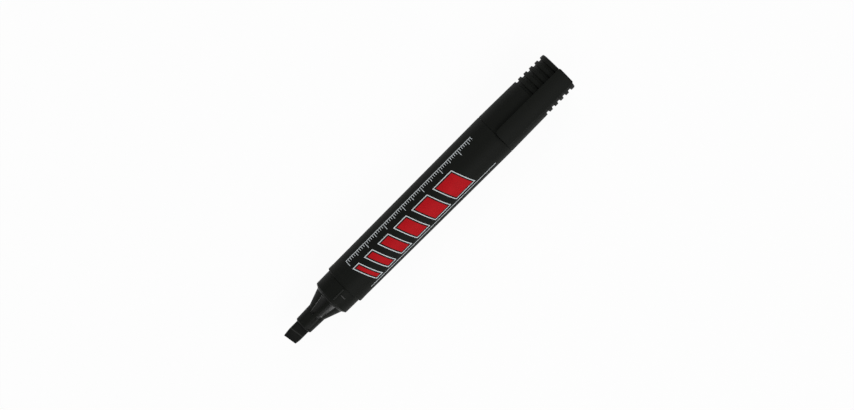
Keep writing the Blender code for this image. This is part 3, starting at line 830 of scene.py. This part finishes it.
# A paler band is painted along the ridge where the bevels meet the faces, as a painted highlight.
ridge = NIB_TIP + NIB_BEVEL_LENGTH + slant * half_tip
painted_ridge_highlight = abs(past_edge - ridge * MM).ramp(*RIDGE_RANGE, 1.0, 0.0)
feed(
    shader,
    Base_Color=painted_ridge_highlight.blend((0.45 * fibres + 0.3 * clumps).blend(FELT_DARK, FELT_PALE), FELT_RIDGE_HIGHLIGHT),
    Roughness=0.62 + 0.3 * fibres,
    Normal=(fibres + 0.6 * clumps).bump(0.9, FELT_DEPTH),
    Specular_IOR_Level=FELT_SPECULAR,
)
dress(nib, material, "pen", "nib_felt", "nib")

# The cap is one satin black moulding, pushed onto the barrel's spigot: a tapering sleeve with five
# grip grooves near its closed end and a groove in its bore for the collar's snap lugs. Its pocket
# clip springs from a root at the closed end and ends level with the mouth.
liner_low, liner_high = (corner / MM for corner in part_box("inner_cap"))
CAP_MOUTH = cap_low.x
CAP_END = cap_high.x
CAP_END_RADIUS = 8.65
CAP_END_ROUND = 0.6
CAP_BORE_RADIUS = 8.2
GRIP_COUNT = 5
GRIP_PITCH = 2.93
GRIP_WIDTH = 1.45
GRIP_DEPTH = 0.75
GRIP_SLOPE = 0.2
GRIP_RIM = 1.88
GRIP_ROUND = 0.12
LINER_SEAT_RADIUS = 7.8
LINER_SEAT_ROUND = 0.1
LINER_END_RADIUS = 7.0
BORE_STEP = CAP_END - 16.28
SNAP_CLEARANCE = 0.1
SNAP_GROOVE_RADIUS = COLLAR_REAR_RADIUS + LUG_HEIGHT + SNAP_CLEARANCE
SNAP_GROOVE_PLACE = CAP_MOUTH + BARREL_FRONT - LUG_PLACE - SEAT_GAP
SNAP_GROOVE_ROUND = 0.2
CLIP_ROLL = math.radians(19)
CLIP_WIDTH = 8.0
CLIP_THICKNESS = 1.2
CLIP_GAP = 0.6
CLIP_ROOT = 5.0
CLIP_ROOT_DEPTH = 1.6
CLIP_END_PROUD = 0.3
CLIP_END_CORNER = 0.6
CLIP_TIP_CORNER = 1.4
CLIP_TIP_STEPS = 8
CLIP_EDGE_ROUND = 0.3
CLIP_FOLLOW = 0.4
CLIP_NUB_HEIGHT = 0.35
CLIP_NUB_PLACES = (1.6, 2.4)
CLIP_NUB_FOOT = 3.2
SAME_PLACE = 0.01
FACING_DOWN = -0.9


def cap_radius(x):
    """Outer radius of the tapering cap."""
    return REAR_RADIUS + (CAP_END_RADIUS - REAR_RADIUS) * (x - CAP_MOUTH) / (CAP_END - CAP_MOUTH)


def clip_tongue():
    """The clip, shaped flat as (along, across, height above the axis) and then bent round the cap."""
    under = REAR_RADIUS + CLIP_GAP
    outer = under + CLIP_THICKNESS
    half = CLIP_WIDTH / 2
    end = CAP_END + CLIP_END_PROUD
    root_start = (end - CLIP_ROOT) * MM
    top, bottom = (AXIS_Z + outer) * MM, (AXIS_Z + under) * MM
    bm = box((CAP_MOUTH, end), (-half, half), (under, outer))
    upright = CLIP_THICKNESS * MM + MERGE
    tip_edges = edges_where(bm, lambda co: co.x < CAP_MOUTH * MM + MERGE)
    tip_corners = [e for e in tip_edges if e.calc_length() < upright]
    fillet_edges(bm, tip_corners, CLIP_TIP_CORNER, CLIP_TIP_STEPS)
    end_edges = edges_where(bm, lambda co: co.x > end * MM - MERGE)
    end_corners = [e for e in end_edges if e.calc_length() < upright]
    fillet_edges(bm, end_corners, CLIP_END_CORNER, FILLET_STEPS)
    top_edges = edges_where(bm, lambda co: co.z > top - MERGE)
    fillet_edges(bm, top_edges, CLIP_EDGE_ROUND, FILLET_STEPS)
    for place in (*CLIP_NUB_PLACES, CLIP_NUB_FOOT):
        split(bm, ((CAP_MOUTH + place) * MM, 0, 0), (1, 0, 0))
    split(bm, (root_start, 0, 0), (1, 0, 0))
    split_across(bm, -half, half, CLIP_FOLLOW, MM)
    for vert in bm.verts:
        along = vert.co.x / MM - CAP_MOUTH
        on_nub = any(abs(along - place) < SAME_PLACE for place in CLIP_NUB_PLACES)
        if on_nub and vert.co.z < bottom + MERGE:
            vert.co.z -= CLIP_NUB_HEIGHT * MM
    root = [
        face for face in bm.faces
        if face.normal.z < FACING_DOWN and face.calc_center_median().x > root_start
    ]
    grown = bmesh.ops.extrude_face_region(bm, geom=root)
    feet = [item for item in grown["geom"] if isinstance(item, bmesh.types.BMVert)]
    bmesh.ops.translate(bm, vec=(0, 0, -(CLIP_GAP + CLIP_ROOT_DEPTH) * MM), verts=feet)
    bmesh.ops.delete(bm, geom=root, context="FACES_ONLY")
    for vert in bm.verts:
        across, height = vert.co.y / MM, vert.co.z / MM - AXIS_Z
        vert.co = around(vert.co.x / MM, height, CLIP_ROLL - math.asin(across / outer))
    bmesh.ops.recalc_face_normals(bm, faces=bm.faces)
    return bm


corners = [(CAP_END, 0, 0), (CAP_END, CAP_END_RADIUS, CAP_END_ROUND)]
for i in range(GRIP_COUNT):
    rear = CAP_END - GRIP_RIM - GRIP_PITCH * i
    front = rear - GRIP_WIDTH
    grip_floor = cap_radius((rear + front) / 2) - GRIP_DEPTH
    corners += [
        (rear, cap_radius(rear), GRIP_ROUND),
        (rear - GRIP_SLOPE, grip_floor, GRIP_ROUND),
        (front + GRIP_SLOPE, grip_floor, GRIP_ROUND),
        (front, cap_radius(front), GRIP_ROUND),
    ]
corners += [
    (CAP_MOUTH, REAR_RADIUS, SEAM_ROUND),
    (CAP_MOUTH, CAP_BORE_RADIUS, 2 * SEAM_ROUND),
    (SNAP_GROOVE_PLACE - LUG_WIDTH, CAP_BORE_RADIUS, SNAP_GROOVE_ROUND),
    (SNAP_GROOVE_PLACE - LUG_WIDTH / 2, SNAP_GROOVE_RADIUS, SNAP_GROOVE_ROUND),
    (SNAP_GROOVE_PLACE + LUG_WIDTH / 2, SNAP_GROOVE_RADIUS, SNAP_GROOVE_ROUND),
    (SNAP_GROOVE_PLACE + LUG_WIDTH, CAP_BORE_RADIUS, SNAP_GROOVE_ROUND),
    (liner_low.x, CAP_BORE_RADIUS, 0),
    (liner_low.x, LINER_SEAT_RADIUS, LINER_SEAT_ROUND),
    (BORE_STEP, LINER_SEAT_RADIUS, 0),
    (BORE_STEP, LINER_END_RADIUS, 0),
    (liner_high.x + SEAT_GAP, LINER_END_RADIUS, 0),
    (liner_high.x + SEAT_GAP, 0, 0),
]
cap = solid("cap_sleeve", spun(corners, closed=False))
combine(cap, solid("clip", clip_tongue()), "UNION")
cap_black, _, _ = moulded_black("cap_black", roughness=0.6, grain_depth=0.008, gloss_spread=0.12)
dress(cap, cap_black, "cap", "cap_plastic", "cap")

# The inner cap is a stepped liner of natural polyethylene, pressed into the cap. Its lip seals on the
# collar's chamfer when the cap is closed, so that the ink doesn't dry.
LINER_WALL = 0.75
LINER_FLOOR = 1.0
LINER_EDGE_ROUND = 0.3
LINER_FOOT_ROUND = 0.1
LINER_LIP_ROUND = 0.25
LINER_STEP_ROUND = 0.2
LINER_FLOOR_ROUND = 0.5
LINER_DULL = (0.70, 0.70, 0.67)
LINER_WHITE = (0.82, 0.82, 0.80)
LINER_SKIN = 0.005
LINER_SCATTER = (0.002, 0.002, 0.002)
liner_outer = LINER_SEAT_RADIUS - PLUG_FIT
liner_inner = liner_outer - LINER_WALL
liner_end_outer = LINER_END_RADIUS - PLUG_FIT
liner_end_inner = liner_end_outer - LINER_WALL
liner_step = BORE_STEP - SEAT_GAP
liner = solid("inner_cap_liner", spun([
    (liner_high.x, 0, 0),
    (liner_high.x, liner_end_outer, LINER_EDGE_ROUND),
    (liner_step, liner_end_outer, LINER_FOOT_ROUND),
    (liner_step, liner_outer, LINER_EDGE_ROUND),
    (liner_low.x, liner_outer, LINER_FOOT_ROUND),
    (liner_low.x, liner_inner, LINER_LIP_ROUND),
    (liner_step - LINER_FLOOR, liner_inner, LINER_EDGE_ROUND),
    (liner_step - LINER_FLOOR, liner_end_inner, LINER_STEP_ROUND),
    (liner_high.x - LINER_FLOOR, liner_end_inner, LINER_FLOOR_ROUND),
    (liner_high.x - LINER_FLOOR, 0, 0),
], closed=False))
material, shader, place = new_finish("natural_liner")
haze = place.noise(140, 3.0)
skin = place.noise(2800)
feed(
    shader,
    Base_Color=haze.blend(LINER_DULL, LINER_WHITE),
    Roughness=0.35 + 0.15 * skin,
    Normal=skin.bump(0.3, LINER_SKIN),
    Subsurface_Weight=0.2,
    Subsurface_Radius=LINER_SCATTER,
)
dress(liner, material, "cap", "liner_plastic", "inner_cap")

# The stage is a wide white floor under a pale studio and four soft lamps, sized in metres. The
# camera's rays see the floor mostly as plain white, with a share of its lit surface, which keeps
# the marker's shadow.
FLOOR_HALF = 3.0
FLOOR_DROP = 0.06
FLOOR_ROUGHNESS = 0.9
FLOOR_DULL = (0.80, 0.80, 0.80)
FLOOR_PALE = (0.82, 0.82, 0.82)
FLOOR_WHITE_SHARE = 0.95
WHITE = (1, 1, 1, 1)
HORIZON_LEVEL = 0.24
TOP_LEVEL = 0.17
LAMPS = {
    "right_softbox": {"place": (0.15, -1.27, 1.27), "size": 1.2, "power": 13.5},
    "top_softbox": {"place": (0.46, 0.40, 0.55), "size": 0.45, "power": 2.0},
    "left_lamp": {"place": (-0.48, 0.48, 0.59), "size": 0.25, "power": 0.7},
    "nib_lamp": {"place": (-0.434, -0.548, 0.566), "size": 0.28, "power": 1.55},
}


def softbox(name, place, size, power):
    """A square area light that faces the marker."""
    lamp = bpy.data.lights.new(name, "AREA")
    lamp.size = size
    lamp.energy = power
    obj = bpy.data.objects.new(name, lamp)
    obj.location = place
    obj.rotation_euler = (-Vector(place)).to_track_quat("-Z", "Y").to_euler()
    bpy.context.scene.collection.objects.link(obj)


bm = bmesh.new()
bmesh.ops.create_grid(bm, x_segments=1, y_segments=1, size=FLOOR_HALF)
bmesh.ops.translate(bm, vec=(0, 0, -FLOOR_DROP * MM), verts=bm.verts)
floor = solid("floor", bm)
material, shader, place = new_finish("white_floor")
feed(shader, Roughness=FLOOR_ROUGHNESS, Base_Color=place.noise(40).blend(FLOOR_DULL, FLOOR_PALE))
camera_ray, glossy_ray, clear_ray = (
    place.add("ShaderNodeLightPath", {}, {}, ray)
    for ray in ("Is Camera Ray", "Is Glossy Ray", "Is Transmission Ray")
)
white = place.add("ShaderNodeEmission", {}, {"Color": WHITE, "Strength": 1.0})
seen = FLOOR_WHITE_SHARE * (camera_ray + glossy_ray + clear_ray)
mixed = place.add("ShaderNodeMixShader", {}, {0: seen, 1: Wire(shader.outputs[0]), 2: white})
outlet = place.tree.nodes["Material Output"].inputs["Surface"]
place.tree.links.new(mixed.socket, outlet)
floor.data.materials.append(material)

world = bpy.data.worlds.new("studio")
world.use_nodes = True
view = Wire(world.node_tree.nodes.new("ShaderNodeTexCoord").outputs["Generated"])
below_top = 1.0 - view.add("ShaderNodeSeparateXYZ", {}, {"Vector": view}, "Z")
level = HORIZON_LEVEL * below_top * below_top + TOP_LEVEL
backdrop = world.node_tree.nodes["Background"]
feed(backdrop, Color=WHITE, Strength=level)
bpy.context.scene.world = world
for name, lamp in LAMPS.items():
    softbox(name, **lamp)

# The camera looks down on the marker with a long lens, from a little towards the cap, with the
# marker running from the lower left of the picture to the upper right.
SENSOR = 36.0
LENS = 95.8
PHOTO_WIDTH = 854
PIXEL = 0.3848
PICTURE_TURN = math.radians(44.925)
AIM = Vector((0.90, -0.73, AXIS_Z)) * MM
TOWARDS_CAP = math.radians(2.44)
distance = PIXEL * PHOTO_WIDTH * LENS / SENSOR * MM
back = Vector((math.sin(TOWARDS_CAP), 0, math.cos(TOWARDS_CAP)))
right = Vector((math.cos(PICTURE_TURN), -math.sin(PICTURE_TURN), 0))
right = (right - back * right.dot(back)).normalized()
up = back.cross(right)
turned = Matrix((right, up, back)).transposed().to_4x4()
camera = bpy.data.objects.new("camera", bpy.data.cameras.new("camera"))
camera.data.sensor_width = SENSOR
camera.data.lens = LENS
camera.matrix_world = Matrix.Translation(AIM + back * distance) @ turned
bpy.context.scene.collection.objects.link(camera)
bpy.context.scene.camera = camera
bpy.context.scene.view_settings.view_transform = "Standard"
